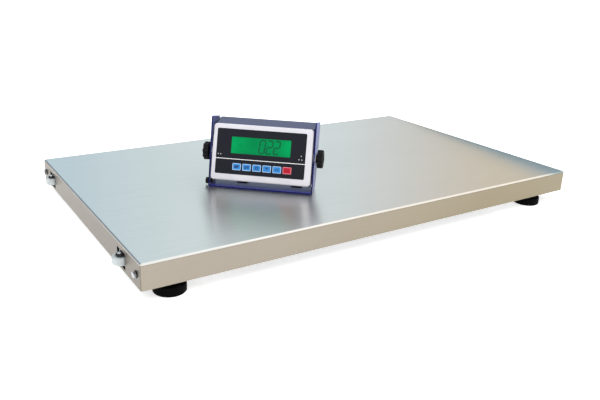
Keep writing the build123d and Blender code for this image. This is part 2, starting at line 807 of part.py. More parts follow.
def front_bezel():
    """Moulded tray: rounded frame, recess for the fascia, display and key windows, posts."""
    body = rounded_plate(bezel_width, bezel_height, bezel_depth, bezel_corner, face)
    body = fillet(body.faces().sort_by(Axis.Y)[0].edges(), bezel_edge)
    tray_width = bezel_width - 2 * bezel_wall
    tray_height = bezel_height - 2 * bezel_wall
    body -= rounded_plate(tray_width, tray_height, bezel_depth, bezel_corner - bezel_wall, face + bezel_plate)
    recess = rounded_plate(fascia_width, fascia_height, fascia_recess, fascia_corner, face)
    body -= Pos(fascia_middle[0], 0, fascia_middle[1]) * recess
    module = rounded_plate(
        display_width + 2 * display_rim + 2 * fit_gap, display_height + 2 * display_rim + 2 * fit_gap,
        bezel_plate, display_rim, face)
    body -= Pos(display_x, 0, display_z) * module
    for opening in key_openings(bezel_plate, face):
        body -= opening
    for x, z in screw_places():
        body += post(screw_boss_radius, face + bezel_plate / 2, face + bezel_depth, x, z)
        body -= post(screw_radius + thread_gap, face + bezel_plate, face + bezel_depth, x, z)
    for x, z in board_posts():
        body += post(board_post_radius, face + bezel_plate / 2, board_front, x, z)
    return housing_frame * body


def fascia():
    """Printed front panel in the bezel's recess, with windows for display and keys."""
    start = fascia_floor - fascia_thickness
    width = fascia_width - fit_gap
    height = fascia_height - fit_gap
    panel = rounded_plate(width, height, fascia_thickness, fascia_corner, start)
    panel = Pos(fascia_middle[0], 0, fascia_middle[1]) * panel
    window = rounded_plate(display_width, display_height, fascia_thickness, display_rim, start)
    panel -= Pos(display_x, 0, display_z) * window
    for opening in key_openings(fascia_thickness, start):
        panel -= opening
    return housing_frame * panel


def display_module():
    """Display and backlight, seated on the main board."""
    start = fascia_floor + display_front_gap
    width = display_width + 2 * display_rim
    height = display_height + 2 * display_rim
    module = rounded_plate(width, height, board_front - start, display_rim, start)
    return housing_frame * Pos(display_x, 0, display_z) * module


def main_board():
    """Circuit board with one switch under each key."""
    board = rounded_plate(board_width, board_height, board_thickness, board_post_radius, board_front)
    for x in key_places:
        switch = Box(switch_size, switch_height, switch_size)
        board += Pos(x, board_front - switch_height / 2, key_row) * switch
    return housing_frame * board


def battery():
    """Rechargeable pack against the rear wall."""
    back = shell_rear - housing_wall
    pack = Pos(0, back - battery_depth / 2, battery_up) * Box(battery_width, battery_depth, battery_height)
    return housing_frame * fillet(pack.edges().filter_by(Axis.Y), battery_edge)


def key(x):
    """Key cap with the stem that reaches its switch."""
    start = fascia_floor - fascia_thickness - key_proud
    cap = rounded_plate(key_width, key_height, key_cap, key_corner, start)
    cap = chamfer(cap.faces().sort_by(Axis.Y)[0].edges(), key_proud / 2)
    stem_end = board_front - switch_height - key_switch_gap
    stem = post(key_stem_radius, start + key_cap / 2, stem_end, 0, 0)
    return housing_frame * Pos(x, 0, key_row) * (cap + stem)


# ---------------------------------------------------------------- all nodes
def build_nodes():
    """Every sub-part by name, as one solid or a list of identical fasteners."""
    nodes = {"deck_cover": deck_cover()}
    nodes["side_channel_front"] = side_channel(front + foot_line, 1)
    nodes["side_channel_rear"] = side_channel(rear - foot_line, -1)
    nodes["end_rail_left"] = end_rail(left + end_rail_setback + end_rail_width / 2)
    nodes["end_rail_right"] = end_rail(right - end_rail_setback - end_rail_width / 2)
    for index in range(cross_rail_count):
        nodes[f"cross_rail_{index + 1}"] = cross_rail(index)
    spacers = []
    bolts = []
    nuts = []
    for name, (x, y, way) in foot_places.items():
        nodes[f"load_cell_{name}"] = load_cell(x, y, way)
        nodes[f"foot_pad_{name}"] = foot_pad(x, y)
        nodes[f"foot_stud_{name}"] = foot_stud(x, y)
        spacers.append(cell_spacer(x, y, way))
        bolts += cell_bolts(x, y, way)
        nuts.append(lock_nut(x, y))
    nodes["cell_spacers"] = spacers
    nodes["cell_bolts"] = bolts
    nodes["foot_lock_nuts"] = nuts
    for name, row in roller_rows.items():
        nodes[f"roller_fork_{name}"] = roller_fork(row)
        nodes[f"roller_{name}"] = roller(row)
        nodes[f"roller_axle_{name}"] = roller_axle(row)
    ends = ((left, -1), (right, 1))
    nodes["cover_bolts"] = [cover_bolt(end, way, row) for end, way in ends for row in bolt_rows]
    nodes["junction_box"] = junction_box()
    nodes["junction_lid"] = junction_lid()
    nodes["junction_screws"] = junction_screws()
    nodes["junction_glands"] = [box_frame * frame * gland() for frame in gland_places()]
    nodes["stand_bracket"] = stand_bracket()
    nodes["stand_pads"] = stand_pads()
    nodes["stand_screw"] = thumb_screw()
    nodes["rear_housing"] = rear_housing()
    nodes["front_bezel"] = front_bezel()
    nodes["bezel_gasket"] = bezel_gasket()
    nodes["fascia"] = fascia()
    nodes["display_module"] = display_module()
    nodes["main_board"] = main_board()
    nodes["battery"] = battery()
    nodes["housing_screws"] = housing_screws()
    nodes["housing_glands"] = housing_glands()
    nodes["pivot_washers"] = [pivot_washer_piece(frame) for frame in side_frames().values()]
    for name, frame in side_frames().items():
        nodes[f"clamp_knob_{name}"] = clamp_knob(frame)
        nodes[f"clamp_stud_{name}"] = clamp_stud(frame)
        nodes[f"clamp_washer_{name}"] = knob_washer_piece(frame)
    for index, x in enumerate(key_places):
        nodes[f"key_{index + 1}"] = key(x)
    return nodes


os.makedirs("parts", exist_ok=True)
for node, shape in build_nodes().items():
    pieces = shape if isinstance(shape, list) else [shape]
    result = Compound(children=pieces) if len(pieces) > 1 else pieces[0]
    export_step(result, f"parts/{node}.step")
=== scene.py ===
"""Render model of a low platform shipping scale with a loose, tilting indicator.

Every length is in metres, in the row frame: +X along the platform, +Y to its rear, +Z up.
"""
import json
import logging
import math
from dataclasses import dataclass, field
from enum import Enum

import bmesh
import bpy
from mathutils import Matrix, Vector


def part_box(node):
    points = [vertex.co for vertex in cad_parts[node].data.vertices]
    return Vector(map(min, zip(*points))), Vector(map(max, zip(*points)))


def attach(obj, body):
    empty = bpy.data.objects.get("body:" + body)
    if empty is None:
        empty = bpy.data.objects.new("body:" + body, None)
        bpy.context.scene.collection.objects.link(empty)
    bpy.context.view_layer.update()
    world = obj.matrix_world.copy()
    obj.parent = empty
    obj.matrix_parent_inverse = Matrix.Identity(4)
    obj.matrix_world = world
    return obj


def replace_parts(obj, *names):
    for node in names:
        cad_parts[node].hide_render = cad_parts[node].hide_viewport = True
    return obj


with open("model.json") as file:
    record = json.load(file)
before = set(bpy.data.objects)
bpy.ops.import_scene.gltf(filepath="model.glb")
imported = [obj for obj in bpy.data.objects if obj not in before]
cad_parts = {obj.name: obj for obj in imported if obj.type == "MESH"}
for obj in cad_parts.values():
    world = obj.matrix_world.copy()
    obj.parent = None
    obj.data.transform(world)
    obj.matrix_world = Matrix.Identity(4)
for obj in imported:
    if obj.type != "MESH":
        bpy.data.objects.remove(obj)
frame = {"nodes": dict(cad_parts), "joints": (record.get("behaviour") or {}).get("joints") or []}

MM = 0.001
SHARP_ANGLE = math.radians(32)
MERGE_DISTANCE = 1e-7
NEARLY_UPRIGHT = 0.9
NOISE_RANGE = (0.3, 0.7)
X_AXIS, Y_AXIS, Z_AXIS = Vector((1, 0, 0)), Vector((0, 1, 0)), Vector((0, 0, 1))
Point = tuple[float, float]
Triple = tuple[float, float, float]
Colour = Triple
Socket = bpy.types.NodeSocket
log = logging.getLogger("platform_scale")


# -------------------- frames and meshes
@dataclass(frozen=True)
class LocalFrame:
    """A right-handed frame of one sub-assembly, given in the row frame."""

    origin: Vector
    x: Vector
    y: Vector
    z: Vector

    @classmethod
    def along(cls, origin: Vector, axis: Vector) -> "LocalFrame":
        """Frame whose z runs along an axis.

        Args:
            origin: The frame's origin.
            axis: Direction of the frame's z.

        Returns:
            The frame; its x and y are any pair square to the axis.
        """
        z = axis.normalized()
        side = Z_AXIS if abs(z.dot(Z_AXIS)) < NEARLY_UPRIGHT else X_AXIS
        x = side.cross(z).normalized()
        return cls(origin, x, z.cross(x), z)

    def matrix(self) -> Matrix:
        """The frame as a 4 by 4 matrix."""
        rows = [[self.x[i], self.y[i], self.z[i], self.origin[i]] for i in range(3)]
        return Matrix(rows + [[0, 0, 0, 1]])

    def point(self, x: float, y: float, z: float) -> Vector:
        """A point of this frame in the row frame."""
        return self.origin + self.x * x + self.y * y + self.z * z

    def box(self, node: str) -> tuple[Vector, Vector]:
        """A CAD node's lowest and highest corner, measured along this frame.

        Args:
            node: The CAD node's name.

        Returns:
            Its lowest and highest corner in this frame.
        """
        back = self.matrix().inverted()
        places = [back @ vertex.co for vertex in frame["nodes"][node].data.vertices]
        low = Vector([min(place[i] for place in places) for i in range(3)])
        high = Vector([max(place[i] for place in places) for i in range(3)])
        return low, high


def joint_named(name: str) -> dict:
    """The record's joint of that name."""
    return next(joint for joint in frame["joints"] if joint["name"] == name)


def rounded_rectangle(width: float, height: float, radius: float, steps: int = 6) -> list[Point]:
    """Outline of a rounded rectangle about the origin.

    Args:
        width: Full width.
        height: Full height.
        radius: Corner radius.
        steps: Points on each corner.

    Returns:
        The outline's points, counter-clockwise.
    """
    points = []
    centres = ((1, 1, 0), (-1, 1, 90), (-1, -1, 180), (1, -1, 270))
    for side, rise, start in centres:
        x = side * (width / 2 - radius)
        y = rise * (height / 2 - radius)
        for step in range(steps + 1):
            angle = math.radians(start + 90 * step / steps)
            points.append((x + radius * math.cos(angle), y + radius * math.sin(angle)))
    return points


def turns(count: int) -> list[float]:
    """Angles of equal steps round one turn."""
    return [2 * math.pi * i / count for i in range(count)]


def around(radius: float, angle: float, height: float) -> Vector:
    """A point at an angle round the z axis."""
    return Vector((radius * math.cos(angle), radius * math.sin(angle), height))


class MeshMaker:
    """Collects faces of one piece in a local frame and turns them into an object."""

    hexagon_segments: int = 60
    hexagon_face: float = 0.95                          # radius of the flat top, in half widths
    hexagon_slope: float = math.tan(math.radians(30))   # fall of the turned-off corners
    thread_segments: int = 28
    thread_steps: int = 4                               # rows of points in one turn
    thread_depth: float = 0.55                          # in pitches

    def __init__(self) -> None:
        """Start with an empty mesh."""
        self.bm = bmesh.new()

    def rings(self, loops: list[list[Vector]], close_ends: bool = True) -> None:
        """Skin a row of equal loops.

        Args:
            loops: Loops of equal length, each a closed ring of points.
            close_ends: Whether the first and last loop are filled.
        """
        rows = [[self.bm.verts.new(place) for place in loop] for loop in loops]
        count = len(rows[0])
        for low, high in zip(rows, rows[1:]):
            for i in range(count):
                j = (i + 1) % count
                self.bm.faces.new((low[i], low[j], high[j], high[i]))
        if close_ends:
            self.bm.faces.new(list(reversed(rows[0])))
            self.bm.faces.new(rows[-1])

    def revolve(self, profile: list[Point], segments: int = 48) -> None:
        """Turn a profile of (radius, height) points about z.

        Args:
            profile: The profile from bottom to top; it may start and end off the axis.
            segments: Steps round the axis.
        """
        self.rings([[around(radius, a, height) for a in turns(segments)] for radius, height in profile])

    def plate(self, outline: list[Point], start: float, thickness: float) -> None:
        """Plate in the XZ plane, its front facing -Y.

        Args:
            outline: The plate's outline as (x, z), counter-clockwise seen from the front.
            start: The front face's place along Y.
            thickness: How deep the plate is.
        """
        self.rings([[Vector((x, y, z)) for x, z in outline] for y in (start + thickness, start)])

    def frame_plate(self, outer: list[Point], inner: list[Point], start: float, thickness: float) -> None:
        """Flat ring between two outlines with equally many points, its front facing -Y.

        Args:
            outer: Outer outline as (x, z).
            inner: Inner outline as (x, z).
            start: The front face's place along Y.
            thickness: How deep the ring is.
        """
        back = start + thickness
        loops = [[Vector((x, back, z)) for x, z in outer], [Vector((x, start, z)) for x, z in outer]]
        loops += [[Vector((x, start, z)) for x, z in inner], [Vector((x, back, z)) for x, z in inner]]
        self.rings(loops + [loops[0]], close_ends=False)

    def hexagon(self, across_flats: float, bottom: float, top: float) -> None:
        """Upright hexagon whose top corners are turned off.

        Args:
            across_flats: Size across the flats.
            bottom: Height of the lower face.
            top: Height of the upper face.
        """
        flat = across_flats / 2
        face = self.hexagon_face * flat
        loops = [[], [], []]
        for angle in turns(self.hexagon_segments):
            swing = (angle + math.pi / 6) % (math.pi / 3) - math.pi / 6
            reach = flat / math.cos(swing)
            drop = (reach - face) * self.hexagon_slope
            for loop, out, height in zip(loops, (reach, reach, face), (bottom, top - drop, top)):
                loop.append(around(out, angle, height))
        self.rings(loops)

    def thread(self, radius: float, pitch: float, bottom: float, top: float) -> None:
        """Screw thread as one stepped helical skin.

        Args:
            radius: Outer radius of the thread.
            pitch: Rise in one turn.
            bottom: Where the thread starts.
            top: Where it ends.
        """
        count = int((top - bottom) / pitch * self.thread_steps)
        depth = self.thread_depth * pitch
        loops = []
        for row in range(count + 1):
            loop = []
            for i, angle in enumerate(turns(self.thread_segments)):
                phase = (row / self.thread_steps - i / self.thread_segments) % 1.0
                out = radius - depth * abs(2 * phase - 1)
                loop.append(around(out, angle, bottom + (top - bottom) * row / count))
            loops.append(loop)
        self.rings(loops)

    def finish(self, name: str, place: LocalFrame, finish: "Finish", body: str,
               slot: str) -> bpy.types.Object:
        """Make the object, dress it and let it ride on a body.

        Args:
            name: Name of the new piece.
            place: Frame that the mesh was drawn in.
            finish: The piece's finish.
            body: CAD body that the piece moves with.
            slot: The record's material slot; not used.

        Returns:
            The new object.
        """
        bmesh.ops.remove_doubles(self.bm, verts=self.bm.verts, dist=MERGE_DISTANCE)
        bmesh.ops.recalc_face_normals(self.bm, faces=self.bm.faces)
        self.bm.transform(place.matrix())
        mesh = bpy.data.meshes.new(name)
        self.bm.to_mesh(mesh)
        self.bm.free()
        mesh.shade_smooth()
        mesh.set_sharp_from_angle(angle=SHARP_ANGLE)
        piece = bpy.data.objects.new(name, mesh)
        bpy.context.scene.collection.objects.link(piece)
        mesh.materials.append(finish.material())
        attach(piece, body)
        log.info("made %s on %s", name, body)
        return piece


def moved(outline: list[Point], x: float, z: float) -> list[Point]:
    """The outline moved by (x, z)."""
    return [(px + x, pz + z) for px, pz in outline]


# -------------------- node graphs
class Mixing(Enum):
    """What a mix node mixes: its data type, its first input and its output."""

    VALUE = ("FLOAT", 2, 0)
    COLOUR = ("RGBA", 6, 2)


def times(colour: Colour, factor: float) -> Colour:
    """The colour times a factor, kept below white."""
    return tuple(min(1.0, part * factor) for part in colour)


def mixed(tree: bpy.types.NodeTree, share: Socket, first: Socket, second: Socket | Colour,
          kind: Mixing = Mixing.COLOUR) -> Socket:
    """Mix of two values or colours.

    Args:
        tree: Node tree that the mix is made in.
        share: The second one's share.
        first: The first value or colour.
        second: The second one, either linked or a plain colour.
        kind: Whether values or colours are mixed.

    Returns:
        The mix's socket.
    """
    node = tree.nodes.new("ShaderNodeMix")
    node.data_type, start, result = kind.value
    tree.links.new(share, node.inputs["Factor"])
    tree.links.new(first, node.inputs[start])
    if isinstance(second, tuple):
        node.inputs[start + 1].default_value = (*second, 1.0)
    else:
        tree.links.new(second, node.inputs[start + 1])
    return node.outputs[result]


def ranged(tree: bpy.types.NodeTree, value: Socket, source: Point, target: Point = (0.0, 1.0),
           smooth: bool = False) -> Socket:
    """A value carried from one range over to another.

    Args:
        tree: Node tree that the step is made in.
        value: The value.
        source: Range that it is read over.
        target: Range that it is carried to.
        smooth: Whether it starts and ends softly.

    Returns:
        The new value's socket.
    """
    node = tree.nodes.new("ShaderNodeMapRange")
    node.interpolation_type = "SMOOTHSTEP" if smooth else "LINEAR"
    node.inputs["From Min"].default_value, node.inputs["From Max"].default_value = source
    node.inputs["To Min"].default_value, node.inputs["To Max"].default_value = target
    tree.links.new(value, node.inputs["Value"])
    return node.outputs["Result"]


def split(tree: bpy.types.NodeTree, vector: Socket) -> bpy.types.NodeOutputs:
    """Take a vector apart.

    Args:
        tree: Node tree that the step is made in.
        vector: The vector.

    Returns:
        Its X, Y and Z sockets.
    """
    node = tree.nodes.new("ShaderNodeSeparateXYZ")
    tree.links.new(vector, node.inputs["Vector"])
    return node.outputs


class Graph:
    """One material's node graph, with a short call for each kind of node."""

    def __init__(self, name: str) -> None:
        """Start a material with a principled shader.

        Args:
            name: Name of the material.
        """
        self.material = bpy.data.materials.new(name)
        self.material.use_nodes = True
        self.tree = self.material.node_tree
        self.shader = self.tree.nodes["Principled BSDF"]
        self.place = self.tree.nodes.new("ShaderNodeTexCoord")

    def set(self, **values: float | tuple) -> None:
        """Set the shader's sockets of those names to plain values."""
        for name, value in values.items():
            self.shader.inputs[name].default_value = value

    def feed(self, socket: str, output: Socket) -> None:
        """Link an output to one of the shader's sockets."""
        self.tree.links.new(output, self.shader.inputs[socket])

    def noise(self, cells: float | Triple, detail: float = 3.0) -> Socket:
        """Noise over object coordinates.

        Args:
            cells: Cells in one metre, the same for all axes or one for each.
            detail: Octaves of detail.

        Returns:
            The noise value's socket.
        """
        stretch = self.tree.nodes.new("ShaderNodeMapping")
        stretch.inputs["Scale"].default_value = cells if isinstance(cells, tuple) else (cells, cells, cells)
        self.tree.links.new(self.place.outputs["Object"], stretch.inputs["Vector"])
        node = self.tree.nodes.new("ShaderNodeTexNoise")
        node.inputs["Scale"].default_value = 1.0
        node.inputs["Detail"].default_value = detail
        self.tree.links.new(stretch.outputs["Vector"], node.inputs["Vector"])
        return node.outputs["Fac"]

    def span(self, value: Socket, low: float, high: float) -> Socket:
        """Noise value spread over low to high."""
        return ranged(self.tree, value, NOISE_RANGE, (low, high))

    def shades(self, value: Socket, colour: Colour, tones: Point) -> Socket:
        """Colour between two tones by a noise value.

        Args:
            value: The noise value.
            colour: The colour at a tone of 1.
            tones: Factors of the darkest and the lightest tone.

        Returns:
            The colour's socket.
        """
        node = self.tree.nodes.new("ShaderNodeValToRGB")
        for stop, position, tone in zip(node.color_ramp.elements, NOISE_RANGE, tones):
            stop.position = position
            stop.color = (*times(colour, tone), 1.0)
        self.tree.links.new(value, node.inputs["Fac"])
        return node.outputs["Color"]

    def either(self, choice: Socket, first: Socket, second: Socket, kind: Mixing = Mixing.COLOUR) -> Socket:
        """Mix of two colours, or of two values, by a value."""
        return mixed(self.tree, choice, first, second, kind)

    def maths(self, operation: str, first: Socket, second: float = 0.0) -> Socket:
        """One arithmetic step on a value.

        Args:
            operation: The step's name.
            first: The value.
            second: The number it is taken with.

        Returns:
            The result's socket.
        """
        node = self.tree.nodes.new("ShaderNodeMath")
        node.operation = operation
        self.tree.links.new(first, node.inputs[0])
        node.inputs[1].default_value = second
        return node.outputs["Value"]

    def beyond(self, part: Socket, limit: float) -> Socket:
        """1 where a part of the normal is over a limit either way, and 0 elsewhere."""
        return self.maths("GREATER_THAN", self.maths("ABSOLUTE", part), limit)

    def relief(self, height: Socket, strength: float, depth: float) -> None:
        """Bump the surface.

        Args:
            height: The height's socket.
            strength: Share of the bump that is used.
            depth: Depth of the full height, in metres.
        """
        node = self.tree.nodes.new("ShaderNodeBump")
        node.inputs["Strength"].default_value = strength
        node.inputs["Distance"].default_value = depth
        self.tree.links.new(height, node.inputs["Height"])
        self.feed("Normal", node.outputs["Normal"])


# -------------------- finishes
class Gloss(Enum):
    """How shiny a moulded or painted surface is, as its roughness."""

    MATTE = 0.62
    SATIN = 0.42
    GLOSSY = 0.22


@dataclass(frozen=True)
class Finish:
    """A named surface finish with cloudy tones, an uneven gloss and a fine relief."""

    name: str
    colour: Colour
    gloss: Gloss | float = Gloss.SATIN
    uneven: Point = (-0.05, 0.06)
    tones: Point = (0.94, 1.05)
    clouds: float | Triple = 22.0
    cloud_detail: float = 3.0
    grain: float | Triple = 1500.0
    grain_share: float = 0.2
    grain_depth: float = 0.05 * MM
    grainy_gloss: bool = False
    shine: float = 0.5
    sheen: Colour = (1.0, 1.0, 1.0)

    def build(self, graph: Graph) -> None:
        """Fill the graph.

        Args:
            graph: Graph of the new material.
        """
        clouds = graph.noise(self.clouds, self.cloud_detail)
        grain = graph.noise(self.grain, 2.0)
        graph.feed("Base Color", self.tone(graph, clouds))
        graph.feed("Roughness", self.roughness(graph, grain if self.grainy_gloss else clouds))
        graph.relief(grain, self.grain_share, self.grain_depth)

    def extras(self) -> dict[str, float | tuple]:
        """The shader's sockets with plain values: a tinted shine, and what each kind adds."""
        return {"Specular IOR Level": self.shine, "Specular Tint": (*self.sheen, 1.0)}

    def tone(self, graph: Graph, clouds: Socket) -> Socket:
        """The colour with its cloudy tones."""
        return graph.shades(clouds, self.colour, self.tones)

    def roughness(self, graph: Graph, value: Socket) -> Socket:
        """The gloss, made uneven by a noise value."""
        middle = self.gloss.value if isinstance(self.gloss, Gloss) else self.gloss
        return graph.span(value, middle + self.uneven[0], middle + self.uneven[1])

    def material(self) -> bpy.types.Material:
        """Make the finish's material, or find it.

        Returns:
            The material, which is made once.
        """
        made = bpy.data.materials.get(self.name)
        if made is None:
            graph = Graph(self.name)
            self.build(graph)
            graph.set(**self.extras())
            made = graph.material
        return made


@dataclass(frozen=True)
class BrushedSheet(Finish):
    """Folded sheet steel, brushed along X; the lines run down the folded ends.

    The normal tells which face a point is on: an end, a side, the deck or a folded edge, each with its own
    tone. The tones of the skirts are painted reflection and shade, of the ends more painted shade, of the
    folded edges a painted highlight.
    """

    gloss: float = 0.31
    uneven: Point = (-0.03, 0.04)
    tones: Point = (0.94, 1.06)
    clouds: Triple = (2.2, 5.0, 5.0)
    cloud_detail: float = 2.0
    grain_share: float = 0.15
    cloud_share: float = 0.8
    # painted reflection and shade: the skirts' colours are darker and warmer than the deck's, the right one
    # warmest
    skirt: Colour = (0.313, 0.278, 0.230)
    painted_warm_reflection: Colour = (0.263, 0.226, 0.156)
    painted_skirt_tones: Point = (0.92, 1.07)
    turning: Point = (-0.25, 0.25)
    # painted shade: the ends take the skirt colour times this share
    painted_end_shade: float = 0.61
    painted_end_shade_tones: Point = (0.90, 1.08)
    # painted highlight: the pale colour along the folded edges stands in for their bright rim of light
    painted_fold_highlight: Colour = (0.90, 0.88, 0.84)
    painted_highlight_tones: Point = (0.97, 1.0)
    upright_over: float = 0.7
    level_over: float = 0.35
    bent_over: float = 0.15
    anisotropy: float = 0.7
    lines: float = 1500.0
    line_length: float = 3.0
    strokes: float = 300.0
    stroke_length: float = 6.0

    def build(self, graph: Graph) -> None:
        """Brush lines in colour, roughness and relief, with wide faint clouds.

        Args:
            graph: Graph of the new material.
        """
        along = graph.noise((self.line_length, self.lines, self.lines), 4.0)
        down = graph.noise((self.lines, self.lines, self.line_length), 4.0)
        facing = split(graph.tree, graph.place.outputs["Normal"])
        end = graph.beyond(facing["X"], self.upright_over)
        side = graph.beyond(facing["Y"], self.upright_over)
        level = graph.beyond(facing["Z"], self.level_over)
        painted_fold_highlight = graph.beyond(facing["Y"], self.bent_over)
        lines = graph.either(end, along, down, Mixing.VALUE)
        clouds = graph.noise(self.clouds, self.cloud_detail)
        cloudy = graph.maths("MULTIPLY", clouds, self.cloud_share)
        tone = graph.either(cloudy, lines, clouds, Mixing.VALUE)
        strokes = graph.noise((self.stroke_length, self.strokes, self.strokes))
        deck = self.tone(graph, graph.either(clouds, strokes, tone, Mixing.VALUE))
        # painted reflection and shade on the skirts, warmer towards the right end
        left = graph.shades(tone, self.skirt, self.painted_skirt_tones)
        right = graph.shades(tone, self.painted_warm_reflection, self.painted_skirt_tones)
        # painted shade: the ends darker than the side skirts
        ends = graph.shades(tone, times(self.skirt, self.painted_end_shade), self.painted_end_shade_tones)
        painted_skirt_colour = graph.either(end, graph.either(self.painted_reflection_share(graph), left, right), ends)
        # painted highlight on the folded edges
        top = graph.either(painted_fold_highlight, deck, graph.shades(tone, self.painted_fold_highlight, self.painted_highlight_tones))
        graph.feed("Base Color", graph.either(level, painted_skirt_colour, top))
        graph.feed("Roughness", self.roughness(graph, lines))
        graph.feed("Tangent", self.across_lines(graph, side))
        graph.relief(lines, self.grain_share, self.grain_depth)

    def extras(self) -> dict[str, float | tuple]:
        """Metal whose shine is drawn out across the lines."""
        return super().extras() | {"Metallic": 1.0, "Anisotropic": self.anisotropy}

    def across_lines(self, graph: Graph, side: Socket) -> Socket:
        """Direction square to the brush lines.

        Args:
            graph: Graph of the new material.
            side: 1 on the side skirts and 0 elsewhere.

        Returns:
            The direction: up on the side skirts, along Y elsewhere.
        """
        across = graph.tree.nodes.new("ShaderNodeCombineXYZ")
        graph.tree.links.new(graph.maths("LESS_THAN", side, 0.5), across.inputs["Y"])
        graph.tree.links.new(side, across.inputs["Z"])
        return across.outputs["Vector"]

    def painted_reflection_share(self, graph: Graph) -> Socket:
        """Share of the warmer painted reflection on the skirts, rising along the platform towards the right
        end.
        """
        return ranged(graph.tree, split(graph.tree, graph.place.outputs["Object"])["X"], self.turning)


@dataclass(frozen=True)
class Plated(Finish):
    """Turned or pressed steel with a thin, cloudy bright plating and faint tool marks."""

    uneven: Point = (-0.08, 0.1)
    tones: Point = (0.8, 1.12)
    clouds: float = 70.0
    grain: Triple = (300.0, 300.0, 2600.0)
    grain_depth: float = 0.04 * MM

    def extras(self) -> dict[str, float | tuple]:
        """The common values, as metal."""
        return super().extras() | {"Metallic": 1.0}


@dataclass(frozen=True)
class Painted(Finish):
    """Sprayed paint on steel, with its fine orange peel; faces that look up are lighter, a painted
    reflection of the sky.
    """

    uneven: Point = (-0.03, 0.05)
    tones: Point = (0.86, 1.14)
    clouds: float = 14.0
    grain: float = 520.0
    grain_share: float = 0.3
    bloom: float = 0.0
    bloom_tint: Colour = (0.45, 0.55, 1.0)
    bloom_roughness: float = 0.3
    # painted reflection of the sky: colour factor for faces that look up
    painted_sky_reflection: float = 1.0
    painted_sky_reflection_tones: Point = (0.9, 1.1)
    painted_sky_reflection_over: float = 0.7

    def extras(self) -> dict[str, float | tuple]:
        """The common values and a bloom seen along the surface."""
        tint = {"Sheen Tint": (*self.bloom_tint, 1.0), "Sheen Roughness": self.bloom_roughness}
        return super().extras() | tint | {"Sheen Weight": self.bloom}

    def tone(self, graph: Graph, clouds: Socket) -> Socket:
        """The coat's tones, lighter on faces that look up by a painted reflection of the sky.

        Args:
            graph: Graph of the new material.
            clouds: Noise value of the clouds.

        Returns:
            The colour's socket.
        """
        # painted reflection of the sky on faces that look up
        upper = graph.shades(clouds, times(self.colour, self.painted_sky_reflection), self.painted_sky_reflection_tones)
        upward = split(graph.tree, graph.place.outputs["Normal"])["Z"]
        choice = graph.maths("GREATER_THAN", upward, self.painted_sky_reflection_over)
        return graph.either(choice, super().tone(graph, clouds), upper)


@dataclass(frozen=True)
class Moulded(Finish):
    """Moulded plastic with a fine grain."""

    cloud_detail: float = 2.0
    grain_share: float = 0.15
    grain_depth: float = 0.04 * MM
    grainy_gloss: bool = True


@dataclass(frozen=True)
class Rubber(Finish):
    """Black moulded rubber with dust in its pores."""

    gloss: float = 0.5
    uneven: Point = (0.0, 0.22)
    tones: Point = (0.7, 1.6)
    clouds: float = 55.0
    cloud_detail: float = 5.0
    grain: float = 900.0
    grain_share: float = 0.3
    grain_depth: float = 0.1 * MM
    shine: float = 0.03


@dataclass(frozen=True)
class Nylon(Finish):
    """Milky nylon with turning marks, which lets a little light through."""

    gloss: float = 0.28
    uneven: Point = (0.0, 0.14)
    tones: Point = (0.9, 1.05)
    clouds: float = 60.0
    grain: Triple = (60.0, 60.0, 1800.0)
    light_share: float = 0.35
    light_reach: Triple = (6 * MM, 6 * MM, 7 * MM)

    def extras(self) -> dict[str, float | tuple]:
        """The common values and light under the skin."""
        light = {"Subsurface Weight": self.light_share, "Subsurface Radius": self.light_reach}
        return super().extras() | light


@dataclass(frozen=True)
class LitDisplay(Finish):
    """Backlit display glass, brightest at its lamps."""

    gloss: float = 0.16
    uneven: Point = (0.0, 0.1)
    tones: Point = (0.80, 1.0)
    clouds: Triple = (26.0, 26.0, 60.0)
    glow: float = 0.5
    shine: float = 0.06
    lamp_tones: Point = (1.12, 1.30)
    lamp_range: Point = (30 * MM, 62 * MM)

    def build(self, graph: Graph) -> None:
        """Glow with slow waves, stronger towards the lamps at both ends.

        Args:
            graph: Graph of the new material.
        """
        waves = graph.noise(self.clouds, 2.0)
        ends = graph.shades(waves, self.colour, self.lamp_tones)
        lit = graph.either(self.towards_lamps(graph), self.tone(graph, waves), ends)
        graph.feed("Base Color", lit)
        graph.feed("Emission Color", lit)
        graph.feed("Roughness", self.roughness(graph, waves))

    def extras(self) -> dict[str, float | tuple]:
        """The common values and the glow's strength."""
        return super().extras() | {"Emission Strength": self.glow}

    def towards_lamps(self, graph: Graph) -> Socket:
        """Share of the lamps' light, from the display's middle to its ends.

        Args:
            graph: Graph of the new material.

        Returns:
            The share's socket.
        """
        axis = Vector(joint_named("tilt")["axis"])
        low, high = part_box("display_module")
        along = graph.tree.nodes.new("ShaderNodeVectorMath")
        along.operation = "DOT_PRODUCT"
        graph.tree.links.new(graph.place.outputs["Object"], along.inputs[0])
        along.inputs[1].default_value = axis
        offset = graph.maths("SUBTRACT", along.outputs["Value"], (low + high).dot(axis) / 2)
        return ranged(graph.tree, graph.maths("ABSOLUTE", offset), self.lamp_range)


STEEL_SHEET = BrushedSheet("finish_brushed_sheet", (0.72, 0.72, 0.71))
STEEL_FRAME = Painted("finish_frame_paint", (0.20, 0.21, 0.22), Gloss.SATIN)
CELL_PLATING = Plated("finish_cell_plating", (0.56, 0.55, 0.52), 0.34)
ZINC = Plated("finish_zinc", (0.56, 0.57, 0.58), 0.32)
BRIGHT = Plated("finish_bright_bolt", (0.46, 0.48, 0.50), 0.2)
DARK_STEEL = Plated("finish_dark_steel", (0.05, 0.05, 0.055), 0.42)
RUBBER = Rubber("finish_rubber", (0.0015, 0.0015, 0.0018))
NYLON = Nylon("finish_nylon", (0.47, 0.51, 0.51))
BOX_GREY = Moulded("finish_box_grey", (0.30, 0.31, 0.32), Gloss.MATTE)
BLACK = Moulded("finish_black_plastic", (0.003, 0.003, 0.004), Gloss.SATIN, shine=0.2)
